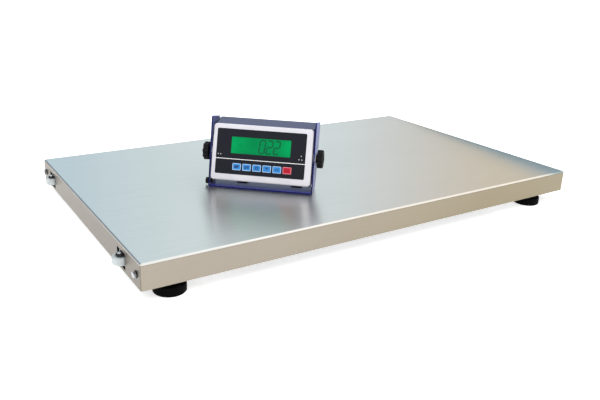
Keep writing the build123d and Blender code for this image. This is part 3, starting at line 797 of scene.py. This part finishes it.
# the navy paint's upward faces are lighter: painted reflection of the sky
NAVY_PAINT = Painted("finish_navy_paint", (0.005, 0.005, 0.065), Gloss.GLOSSY, shine=0.25,
                     sheen=(0.45, 0.52, 1.0), bloom=0.9, painted_sky_reflection=4.2)
NAVY_SHELL = Moulded("finish_navy_shell", (0.010, 0.009, 0.075), Gloss.GLOSSY, sheen=(0.62, 0.60, 0.82))
WHITE_SHELL = Moulded("finish_white_shell", (0.645, 0.635, 0.68), Gloss.GLOSSY, shine=0.35)
FILM = Moulded("finish_dark_film", (0.005, 0.006, 0.012), Gloss.SATIN, shine=0.25)
WHITE_PRINT = Moulded("finish_white_print", (0.80, 0.80, 0.80), Gloss.MATTE)
DISPLAY = LitDisplay("finish_display", (0.0, 0.19, 0.055))
DIGITS = Moulded("finish_digits", (0.001, 0.115, 0.043), Gloss.GLOSSY, shine=0.15)
BOARD = Moulded("finish_board", (0.02, 0.16, 0.05), Gloss.SATIN)
BATTERY = Moulded("finish_battery", (0.03, 0.03, 0.034), Gloss.MATTE)
BLUE_KEY = Moulded("finish_blue_key", (0.028, 0.22, 0.58), Gloss.SATIN, shine=0.25)
BLUE_PRINT = Moulded("finish_blue_print", (0.003, 0.016, 0.10), Gloss.MATTE)
BLUE_RIM = Moulded("finish_blue_rim", (0.50, 0.66, 0.82), Gloss.MATTE)
RED_RIM = Moulded("finish_red_rim", (0.80, 0.30, 0.34), Gloss.MATTE)
RED_PRINT = Moulded("finish_red_print", (0.30, 0.005, 0.015), Gloss.MATTE, shine=0.2)
RED_KEY = Moulded("finish_red_key", (0.47, 0.008, 0.03), Gloss.SATIN, shine=0.25)

DRESSED: dict[Finish, tuple[str, ...]] = {
    STEEL_SHEET: ("deck_cover",), STEEL_FRAME: ("side_channel", "end_rail", "cross_rail"),
    CELL_PLATING: ("load_cell",), DARK_STEEL: ("roller_fork",), BRIGHT: ("roller_axle", "cover_bolts"),
    ZINC: ("cell_spacers", "cell_bolts", "foot_stud", "foot_lock_nuts", "junction_screws", "clamp_stud",
           "clamp_washer", "housing_screws"),
    RUBBER: ("foot_pad", "stand_pads", "bezel_gasket"), NYLON: ("roller", "pivot_washers"),
    BOX_GREY: ("junction_box", "junction_lid"), NAVY_PAINT: ("stand_bracket",),
    BLACK: ("junction_glands", "stand_screw", "clamp_knob", "housing_glands"),
    NAVY_SHELL: ("rear_housing",), WHITE_SHELL: ("front_bezel",), FILM: ("fascia",),
    DISPLAY: ("display_module",), BOARD: ("main_board",), BATTERY: ("battery",),
    RED_KEY: ("key_6",), BLUE_KEY: ("key",),
}


def dress_nodes() -> None:
    """Give every CAD node the finish with the longest name that it starts with."""
    finishes = {start: finish for finish, starts in DRESSED.items() for start in starts}
    for name, node in frame["nodes"].items():
        key = max((start for start in finishes if name.startswith(start)), key=len)
        node.data.materials.clear()
        node.data.materials.append(finishes[key].material())
        node.data.shade_smooth()
        node.data.set_sharp_from_angle(angle=SHARP_ANGLE)
        log.info("dressed %s as %s", name, key)


# -------------------- platform
@dataclass
class CoverBolts:
    """Four hexagon bolts with dark sealing washers in the short skirts."""

    across_flats: float = 10.0 * MM
    washer_radius: float = 6.5 * MM
    washer: float = 1.2 * MM
    head: float = 4.2 * MM
    collar_radius: float = 5.8 * MM
    collar: Point = (0.96 * MM, 1.68 * MM)

    def build(self) -> None:
        """Replace the CAD bolts by detailed ones."""
        low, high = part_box("cover_bolts")
        height = (low.z + high.z) / 2
        pieces = []
        for name, x, way in (("left", low.x, -1), ("right", high.x, 1)):
            for row, y in (("front", low.y + self.washer_radius), ("rear", high.y - self.washer_radius)):
                skirt = x - way * (self.washer + self.head)
                place = LocalFrame.along(Vector((skirt, y, height)), X_AXIS * way)
                pieces.append(self.bolt(f"cover_bolt_{name}_{row}", place))
                self.seal(f"cover_seal_{name}_{row}", place)
        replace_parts(pieces[0], "cover_bolts")

    def bolt(self, name: str, place: LocalFrame) -> bpy.types.Object:
        """One bolt head with a collar, standing on its washer.

        Args:
            name: Name of the piece.
            place: Frame on the skirt, its z outwards.

        Returns:
            The new piece.
        """
        maker = MeshMaker()
        maker.hexagon(self.across_flats, self.washer, self.washer + self.head)
        maker.revolve([(self.collar_radius, height) for height in self.collar])
        return maker.finish(name, place, BRIGHT, "platform", "bright_bolt")

    def seal(self, name: str, place: LocalFrame) -> None:
        """One sealing washer with a pointed rim.

        Args:
            name: Name of the piece.
            place: Frame on the skirt, its z outwards.
        """
        rim = self.washer / 2
        inner = self.washer_radius - rim
        maker = MeshMaker()
        maker.revolve([(inner, 0.0), (self.washer_radius, rim), (inner, self.washer)])
        maker.finish(name, place, RUBBER, "platform", "rubber")


@dataclass
class LevellingFeet:
    """Threaded studs with chamfered hexagons and lock nuts."""

    thread_radius: float = 6.0 * MM
    pitch: float = 1.75 * MM
    across_flats: float = 22.0 * MM
    nut_across_flats: float = 19.0 * MM
    nut_height: float = 8.0 * MM
    places: tuple[str, ...] = ("front_left", "front_right", "rear_left", "rear_right")

    def build(self) -> None:
        """Replace each stud, and all lock nuts."""
        nuts = []
        for name in self.places:
            centre = Vector(joint_named(f"turn_{name}")["pos_m"])
            low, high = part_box(f"foot_stud_{name}")
            pad_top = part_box(f"foot_pad_{name}")[1].z
            nut_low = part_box("foot_lock_nuts")[0].z
            place = LocalFrame(Vector((centre.x, centre.y, 0)), X_AXIS, Y_AXIS, Z_AXIS)
            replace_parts(self.stud(name, place, (low.z, pad_top, nut_low, high.z)), f"foot_stud_{name}")
            nuts.append(self.nut(name, place, nut_low))
        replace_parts(nuts[0], "foot_lock_nuts")

    def stud(self, name: str, place: LocalFrame, heights: tuple[float, ...]) -> bpy.types.Object:
        """One stud: plain end in the pad, hexagon, then thread.

        Args:
            name: Corner that the foot stands at.
            place: Frame on the foot's axis, on the floor.
            heights: The stud's lower end, the pad's top, the hexagon's top and the upper end.

        Returns:
            The new piece.
        """
        low, pad_top, shoulder, high = heights
        maker = MeshMaker()
        maker.revolve([(self.thread_radius, low), (self.thread_radius, pad_top)])
        maker.hexagon(self.across_flats, pad_top, shoulder)
        maker.thread(self.thread_radius, self.pitch, shoulder, high)
        return maker.finish(f"stud_{name}", place, ZINC, f"stud_{name}", "zinc")

    def nut(self, name: str, place: LocalFrame, low: float) -> bpy.types.Object:
        """One lock nut under its load cell.

        Args:
            name: Corner that the foot stands at.
            place: Frame on the foot's axis, on the floor.
            low: Height of the nut's lower face.

        Returns:
            The new piece.
        """
        maker = MeshMaker()
        maker.hexagon(self.nut_across_flats, low, low + self.nut_height)
        return maker.finish(f"lock_nut_{name}", place, ZINC, "platform", "zinc")


@dataclass
class EndRollers:
    """Axle bolts of the two end rollers."""

    across_flats: float = 10.0 * MM
    head: float = 4.0 * MM
    shank_radius: float = 3.0 * MM
    crown: float = 0.6 * MM
    crown_radius: float = 4.7 * MM
    crown_flat: float = 3.0 * MM
    rows: tuple[str, ...] = ("near", "far")

    def build(self) -> None:
        """Replace each axle by a bolt whose hexagon head has a low crown."""
        for name in self.rows:
            centre = Vector(joint_named(f"roll_{name}")["pos_m"])
            low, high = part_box(f"roller_axle_{name}")
            place = LocalFrame.along(Vector((centre.x, centre.y, 0)), Z_AXIS)
            seat, shoulder = high.z - self.head, high.z - self.crown
            maker = MeshMaker()
            maker.revolve([(self.shank_radius, low.z), (self.shank_radius, seat)])
            maker.hexagon(self.across_flats, seat, shoulder)
            maker.revolve([(self.crown_radius, shoulder), (self.crown_flat, high.z)])
            bolt = maker.finish(f"axle_bolt_{name}", place, BRIGHT, "platform", "bright_bolt")
            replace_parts(bolt, f"roller_axle_{name}")


@dataclass
class WindowTrims:
    """Black edge strips that line the roller windows of the left skirt."""

    width: float = 38.0 * MM
    top: float = 59.0 * MM
    bottom: float = 30.0 * MM
    corner: float = 2.0 * MM
    strip: float = 2.0 * MM
    set_back: float = 0.2 * MM
    depth: float = 3.0 * MM
    rows: tuple[str, ...] = ("near", "far")

    def build(self) -> None:
        """Line each window, just behind the skirt's outer face and proud of it inside."""
        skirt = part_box("deck_cover")[0].x
        height = self.top - self.bottom
        outer = rounded_rectangle(self.width, height, self.corner)
        inner = rounded_rectangle(self.width - 2 * self.strip, height - 2 * self.strip, self.corner / 2)
        for name in self.rows:
            row = joint_named(f"roll_{name}")["pos_m"][1]
            place = LocalFrame(Vector((skirt, row, (self.top + self.bottom) / 2)), -Y_AXIS, X_AXIS, Z_AXIS)
            maker = MeshMaker()
            maker.frame_plate(outer, inner, self.set_back, self.depth)
            maker.finish(f"window_trim_{name}", place, RUBBER, "platform", "rubber")


# -------------------- indicator
class Legend(Enum):
    """Generic signs on the keys, as strokes on a grid from -1 to 1."""

    MENU = (((-1.0, 0.6), (1.0, 0.6)), ((-1.0, 0.0), (1.0, 0.0)), ((-1.0, -0.6), (0.4, -0.6)))
    SWAP = (((-1.0, 0.4), (1.0, 0.4)), ((0.4, 0.8), (1.0, 0.4)),
            ((-1.0, -0.4), (1.0, -0.4)), ((-0.4, -0.8), (-1.0, -0.4)))
    ZERO = (((-0.5, -0.7), (-0.5, 0.7)), ((-0.5, 0.7), (0.5, 0.7)),
            ((0.5, 0.7), (0.5, -0.7)), ((0.5, -0.7), (-0.5, -0.7)))
    TARE = (((-0.7, 0.7), (0.7, 0.7)), ((0.0, 0.7), (0.0, -0.7)))
    HOLD = (((-0.4, -0.7), (-0.4, 0.7)), ((0.4, -0.7), (0.4, 0.7)))
    POWER = (((0.0, 0.1), (0.0, 0.8)), ((-0.5, 0.4), (-0.7, -0.2)), ((-0.7, -0.2), (0.0, -0.7)),
             ((0.0, -0.7), (0.7, -0.2)), ((0.7, -0.2), (0.5, 0.4)))


SEGMENTS = {
    "a": ((0, 2), (1, 2)), "b": ((1, 2), (1, 1)), "c": ((1, 1), (1, 0)), "d": ((0, 0), (1, 0)),
    "e": ((0, 1), (0, 0)), "f": ((0, 2), (0, 1)), "g": ((0, 1), (1, 1)),
}
LIT_SEGMENTS = {"0": "abcdef", "2": "abged"}


@dataclass
class Indicator:
    """Prints, display digits and key details on the tilting case."""

    print_thickness: float = 0.05 * MM
    line_width: float = 1.3 * MM
    line_share: float = 0.55
    mark_size: float = 1.1 * MM
    mark_drop: float = 1.0 * MM
    marks_left: tuple[Point, ...] = ((4.5 * MM, 0.0), (9.5 * MM, 0.0))
    marks_right: tuple[Point, ...] = ((-8.5 * MM, 7.0 * MM), (-12.5 * MM, 0.0), (-7.0 * MM, 0.0))
    reading: str = "0.22"
    reading_share: float = 0.465
    digit_height: float = 25.5 * MM
    digit_width: float = 10.5 * MM
    digit_gap: float = 4.2 * MM
    digit_stroke: float = 3.2 * MM
    digit_lean: float = 0.12
    segment_gap: float = 0.7 * MM
    point_gap: float = 1.6 * MM
    point_size: float = 1.8 * MM
    point_lean: float = 0.4 * MM
    minus_share: float = 0.14
    minus_length: float = 4.0 * MM
    minus_width: float = 1.2 * MM
    rim_width: float = 0.9 * MM
    rim_margin: float = 0.7 * MM
    rim_corners: Point = (1.3 * MM, 0.6 * MM)
    rim_rise: float = 0.12 * MM
    rim_thickness: float = 0.14 * MM
    sign_stroke: float = 1.5 * MM
    sign_reach: Point = (4.6 * MM, 2.9 * MM)
    place: LocalFrame = field(default_factory=lambda: Indicator.face_frame())

    @staticmethod
    def face_frame() -> LocalFrame:
        """Frame of the tilting case.

        Returns:
            The frame: x to the viewer's right, y into the case, z up its face.
        """
        tilt = joint_named("tilt")
        across = Vector(tilt["axis"]).normalized()
        inward = Vector(joint_named("press_1")["axis"]).normalized()
        return LocalFrame(Vector(tilt["pos_m"]), across, inward, across.cross(inward))

    def build(self) -> None:
        """Make the prints, the digits and the key rims."""
        low, high = self.place.box("fascia")
        self.divider(low, high)
        self.small_marks(low, high)
        self.digits()
        for index, legend in enumerate(Legend, start=1):
            self.key_face(index, legend)

    def strip(self, maker: MeshMaker, start: Point, end: Point, width: float, front: float) -> None:
        """Add one straight printed stroke.

        Args:
            maker: The piece that the stroke is part of.
            start: One end as (x, z).
            end: The other end.
            width: Width of the stroke.
            front: Where the print's base lies along Y.
        """
        along = Vector((end[0] - start[0], end[1] - start[1])).normalized()
        side = Vector((-along.y, along.x)) * width / 2
        corners = [Vector(start) - side, Vector(end) - side, Vector(end) + side, Vector(start) + side]
        maker.plate([(c.x, c.y) for c in corners], front - self.print_thickness, self.print_thickness)

    def divider(self, low: Vector, high: Vector) -> None:
        """White line between display and keys, across the whole fascia.

        Args:
            low: The fascia's lowest corner in the case's frame.
            high: Its highest corner.
        """
        keys_top = self.place.box("key_1")[1].z
        display_low = self.place.box("display_module")[0].z
        height = display_low + (keys_top - display_low) * self.line_share
        maker = MeshMaker()
        self.strip(maker, (low.x, height), (high.x, height), self.line_width, low.y)
        maker.finish("divider_line", self.place, WHITE_PRINT, "indicator", "white_plastic")

    def small_marks(self, low: Vector, high: Vector) -> None:
        """Small white status marks beside the display's lower corners.

        Args:
            low: The fascia's lowest corner in the case's frame.
            high: Its highest corner.
        """
        base = self.place.box("display_module")[0].z - self.mark_drop
        marks = [(low.x + x, base + z) for x, z in self.marks_left]
        marks += [(high.x + x, base + z) for x, z in self.marks_right]
        size = self.mark_size
        maker = MeshMaker()
        for x, z in marks:
            corners = [(x - size, z - size), (x + size, z - size), (x, z + size)]
            maker.plate(corners, low.y - self.print_thickness, self.print_thickness)
        maker.finish("status_marks", self.place, WHITE_PRINT, "indicator", "white_plastic")

    def digits(self) -> None:
        """Seven-segment reading and its minus sign on the display."""
        low, high = self.place.box("display_module")
        middle = (low.z + high.z) / 2
        base = middle - self.digit_height / 2
        width = high.x - low.x
        maker = MeshMaker()
        x = low.x + width * self.reading_share
        for sign in self.reading:
            if sign == ".":
                foot = (x - self.point_gap, base)
                head = (foot[0] + self.point_lean, base + self.point_size)
                self.strip(maker, foot, head, self.point_size, low.y)
                continue
            self.digit(maker, sign, x, base, low.y)
            x += self.digit_width + self.digit_gap
        minus = low.x + width * self.minus_share
        self.strip(maker, (minus, middle), (minus + self.minus_length, middle), self.minus_width, low.y)
        maker.finish("display_digits", self.place, DIGITS, "indicator", "display")

    def digit(self, maker: MeshMaker, sign: str, x: float, base: float, front: float) -> None:
        """Add one leaning seven-segment digit.

        Args:
            maker: The piece that holds the digits.
            sign: The digit.
            x: Its left side.
            base: Its foot.
            front: Where the display's front lies along Y.
        """
        for name in LIT_SEGMENTS[sign]:
            ends = [Vector((u * self.digit_width, v * self.digit_height / 2)) for u, v in SEGMENTS[name]]
            gap = (ends[1] - ends[0]).normalized() * self.segment_gap
            ends = (ends[0] + gap, ends[1] - gap)
            start, end = [(x + place.x + place.y * self.digit_lean, base + place.y) for place in ends]
            self.strip(maker, start, end, self.digit_stroke, front)

    def key_face(self, index: int, legend: Legend) -> None:
        """Pale rim and sign of one key, riding on it.

        Args:
            index: Number of the key from the left.
            legend: The sign on it.
        """
        body = f"key_{index}"
        low, high = self.place.box(body)
        x, z = (low.x + high.x) / 2, (low.z + high.z) / 2
        width, height = high.x - low.x - self.rim_margin, high.z - low.z - self.rim_margin
        inset = 2 * self.rim_width
        outer = rounded_rectangle(width, height, self.rim_corners[0])
        inner = rounded_rectangle(width - inset, height - inset, self.rim_corners[1])
        rim_paint, ink = (RED_RIM, RED_PRINT) if legend is Legend.POWER else (BLUE_RIM, BLUE_PRINT)
        maker = MeshMaker()
        maker.frame_plate(moved(outer, x, z), moved(inner, x, z), low.y - self.rim_rise, self.rim_thickness)
        maker.finish(f"key_rim_{index}", self.place, rim_paint, body, "white_plastic")
        sign = MeshMaker()
        for stroke in legend.value:
            start, end = [(x + u * self.sign_reach[0], z + v * self.sign_reach[1]) for u, v in stroke]
            self.strip(sign, start, end, self.sign_stroke, low.y)
        sign.finish(f"key_sign_{index}", self.place, ink, body, "white_plastic")


# -------------------- studio
@dataclass
class Studio:
    """Plain pale floor, soft light and the camera."""

    floor_size: float = 80.0
    floor_tone: Colour = (0.96, 0.96, 0.96)
    floor_tones: Point = (0.93 / 0.96, 1.0)
    floor_clouds: float = 0.7
    floor_glow: float = 0.62
    dull: float = 0.9
    camera_lens: float = 39.58
    sensor_width: float = 36.0
    shift: Point = (0.0282, -0.0346)
    camera_from_corner: Triple = (-0.2993, -0.8589, 0.4412)
    camera_right: Triple = (0.8485, -0.5284, 0.0291)
    camera_forward: Triple = (0.5086, 0.799, -0.3207)
    top_power: float = 1.2
    top_spread: float = math.radians(50)
    top_direction: Triple = (0.35, 0.45, -1.0)
    wall_light: float = 1.6
    walls: tuple[tuple[float, Colour], ...] = (
        (-55.0, (0.53, 0.53, 0.53)), (-42.0, (0.42, 0.44, 0.45)), (-30.0, (0.08, 0.095, 0.11)),
        (-9.0, (0.08, 0.10, 0.12)), (4.0, (0.335, 0.475, 0.56)), (14.0, (0.37, 0.495, 0.56)),
        (22.0, (0.49, 0.575, 0.59)), (38.0, (0.51, 0.59, 0.62)), (46.0, (0.46, 0.46, 0.45)),
        (52.0, (0.46, 0.38, 0.265)), (60.0, (0.50, 0.43, 0.33)), (70.0, (0.68, 0.65, 0.60)),
        (125.0, (0.68, 0.66, 0.62)), (150.0, (0.53, 0.53, 0.53)),
    )
    sky: Colour = (0.9, 0.9, 0.9)
    sky_from: Point = (0.70, 0.84)
    overhead: Colour = (0.50, 0.51, 0.52)
    overhead_from: Point = (0.85, 0.95)
    flag_heights: Point = (0.048, 0.001)
    flag_gap: float = 0.02
    flag_reach: Point = (0.05, 0.1)
    flag_tone: Colour = (0.33, 0.46, 0.52)
    flag_tones: Point = (0.9, 1.0)
    flag_clouds: float = 3.0

    def build(self) -> None:
        """Make floor, surroundings, light and camera."""
        bpy.context.scene.view_settings.view_transform = "Standard"
        self.floor()
        self.world()
        self.flag()
        self.top_light()
        self.camera()

    def sheet(self, name: str, corners: list[Triple], material: bpy.types.Material) -> bpy.types.Object:
        """Flat four-sided sheet of the studio, which is no part of the product.

        Args:
            name: Name of the sheet.
            corners: Its corners in order.
            material: Its material.

        Returns:
            The new object.
        """
        bm = bmesh.new()
        bm.faces.new([bm.verts.new(corner) for corner in corners])
        mesh = bpy.data.meshes.new(name)
        bm.to_mesh(mesh)
        bm.free()
        mesh.materials.append(material)
        sheet = bpy.data.objects.new(name, mesh)
        bpy.context.scene.collection.objects.link(sheet)
        return sheet

    def floor(self) -> None:
        """Pale floor with a little glow of its own and a barely uneven tone."""
        half = self.floor_size / 2
        graph = Graph("finish_floor")
        pale = graph.shades(graph.noise(self.floor_clouds, 2.0), self.floor_tone, self.floor_tones)
        graph.feed("Base Color", pale)
        graph.feed("Emission Color", pale)
        graph.set(**{"Roughness": self.dull, "Emission Strength": self.floor_glow})
        corners = [(-half, -half, 0.0), (half, -half, 0.0), (half, half, 0.0), (-half, half, 0.0)]
        self.sheet("floor", corners, graph.material)

    def flag(self) -> None:
        """Grey strip beside the right end that only the steel's reflections see."""
        low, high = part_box("deck_cover")
        x = high.x + self.flag_gap
        near, far = low.y - self.flag_reach[0], high.y + self.flag_reach[1]
        tall, short = self.flag_heights
        graph = Graph("finish_flag")
        tone = graph.noise(self.flag_clouds, 2.0)
        graph.feed("Base Color", graph.shades(tone, self.flag_tone, self.flag_tones))
        graph.set(Roughness=self.dull)
        corners = [(x, near, high.z), (x, far, high.z), (x, far, high.z + short), (x, near, high.z + tall)]
        flag = self.sheet("flag", corners, graph.material)
        flag.visible_camera = flag.visible_diffuse = flag.visible_shadow = False

    def world(self) -> None:
        """Walls of graded tone all round under a pale sky; the camera sees plain white in their place."""
        world = bpy.data.worlds.new("surroundings")
        bpy.context.scene.world = world
        world.use_nodes = True
        tree = world.node_tree
        parts = split(tree, tree.nodes.new("ShaderNodeTexCoord").outputs["Generated"])
        turn = tree.nodes.new("ShaderNodeMath")
        turn.operation = "ARCTAN2"
        tree.links.new(parts["X"], turn.inputs[0])
        tree.links.new(parts["Y"], turn.inputs[1])
        walls = tree.nodes.new("ShaderNodeValToRGB")
        stops = walls.color_ramp.elements
        for stop, position in zip(stops, (0.0, 1.0)):
            stop.position = position
            stop.color = (*self.walls[0][1], 1.0)
        for degrees, colour in self.walls:
            stops.new(0.5 + degrees / 360).color = (*colour, 1.0)
        tree.links.new(ranged(tree, turn.outputs["Value"], (-math.pi, math.pi)), walls.inputs["Fac"])
        shown = walls.outputs["Color"]
        for tone, start in ((self.sky, self.sky_from), (self.overhead, self.overhead_from)):
            shown = mixed(tree, ranged(tree, parts["Z"], start, smooth=True), shown, tone)
        straight = tree.nodes.new("ShaderNodeLightPath").outputs["Is Camera Ray"]
        shown = mixed(tree, straight, shown, tuple(3 * [1.0 / self.wall_light]))
        backdrop = tree.nodes["Background"]
        tree.links.new(shown, backdrop.inputs["Color"])
        backdrop.inputs["Strength"].default_value = self.wall_light

    def top_light(self) -> None:
        """Wide soft light from above and in front of the left end."""
        data = bpy.data.lights.new("top_light", "SUN")
        data.energy = self.top_power
        data.angle = self.top_spread
        lamp = bpy.data.objects.new("top_light", data)
        lamp.visible_glossy = False
        lamp.rotation_euler = Vector(self.top_direction).to_track_quat("-Z", "Y").to_euler()
        bpy.context.scene.collection.objects.link(lamp)

    def camera(self) -> None:
        """Camera in front of the left end, looking along the platform."""
        low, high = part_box("deck_cover")
        corner = Vector((low.x, low.y, high.z))
        data = bpy.data.cameras.new("camera")
        data.lens = self.camera_lens
        data.sensor_width = self.sensor_width
        data.shift_x, data.shift_y = self.shift
        camera = bpy.data.objects.new("camera", data)
        right = Vector(self.camera_right).normalized()
        back = -Vector(self.camera_forward).normalized()
        pose = LocalFrame(corner + Vector(self.camera_from_corner), right, back.cross(right), back)
        camera.matrix_world = pose.matrix()
        bpy.context.scene.collection.objects.link(camera)
        bpy.context.scene.camera = camera


def main() -> None:
    """Build the sub-assemblies in order."""
    logging.basicConfig(level=logging.INFO, format="%(message)s")
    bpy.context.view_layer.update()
    dress_nodes()
    for assembly in (CoverBolts(), LevellingFeet(), EndRollers(), WindowTrims(), Indicator(), Studio()):
        log.info("building %s", type(assembly).__name__)
        assembly.build()


if __name__ == "__main__":
    main()
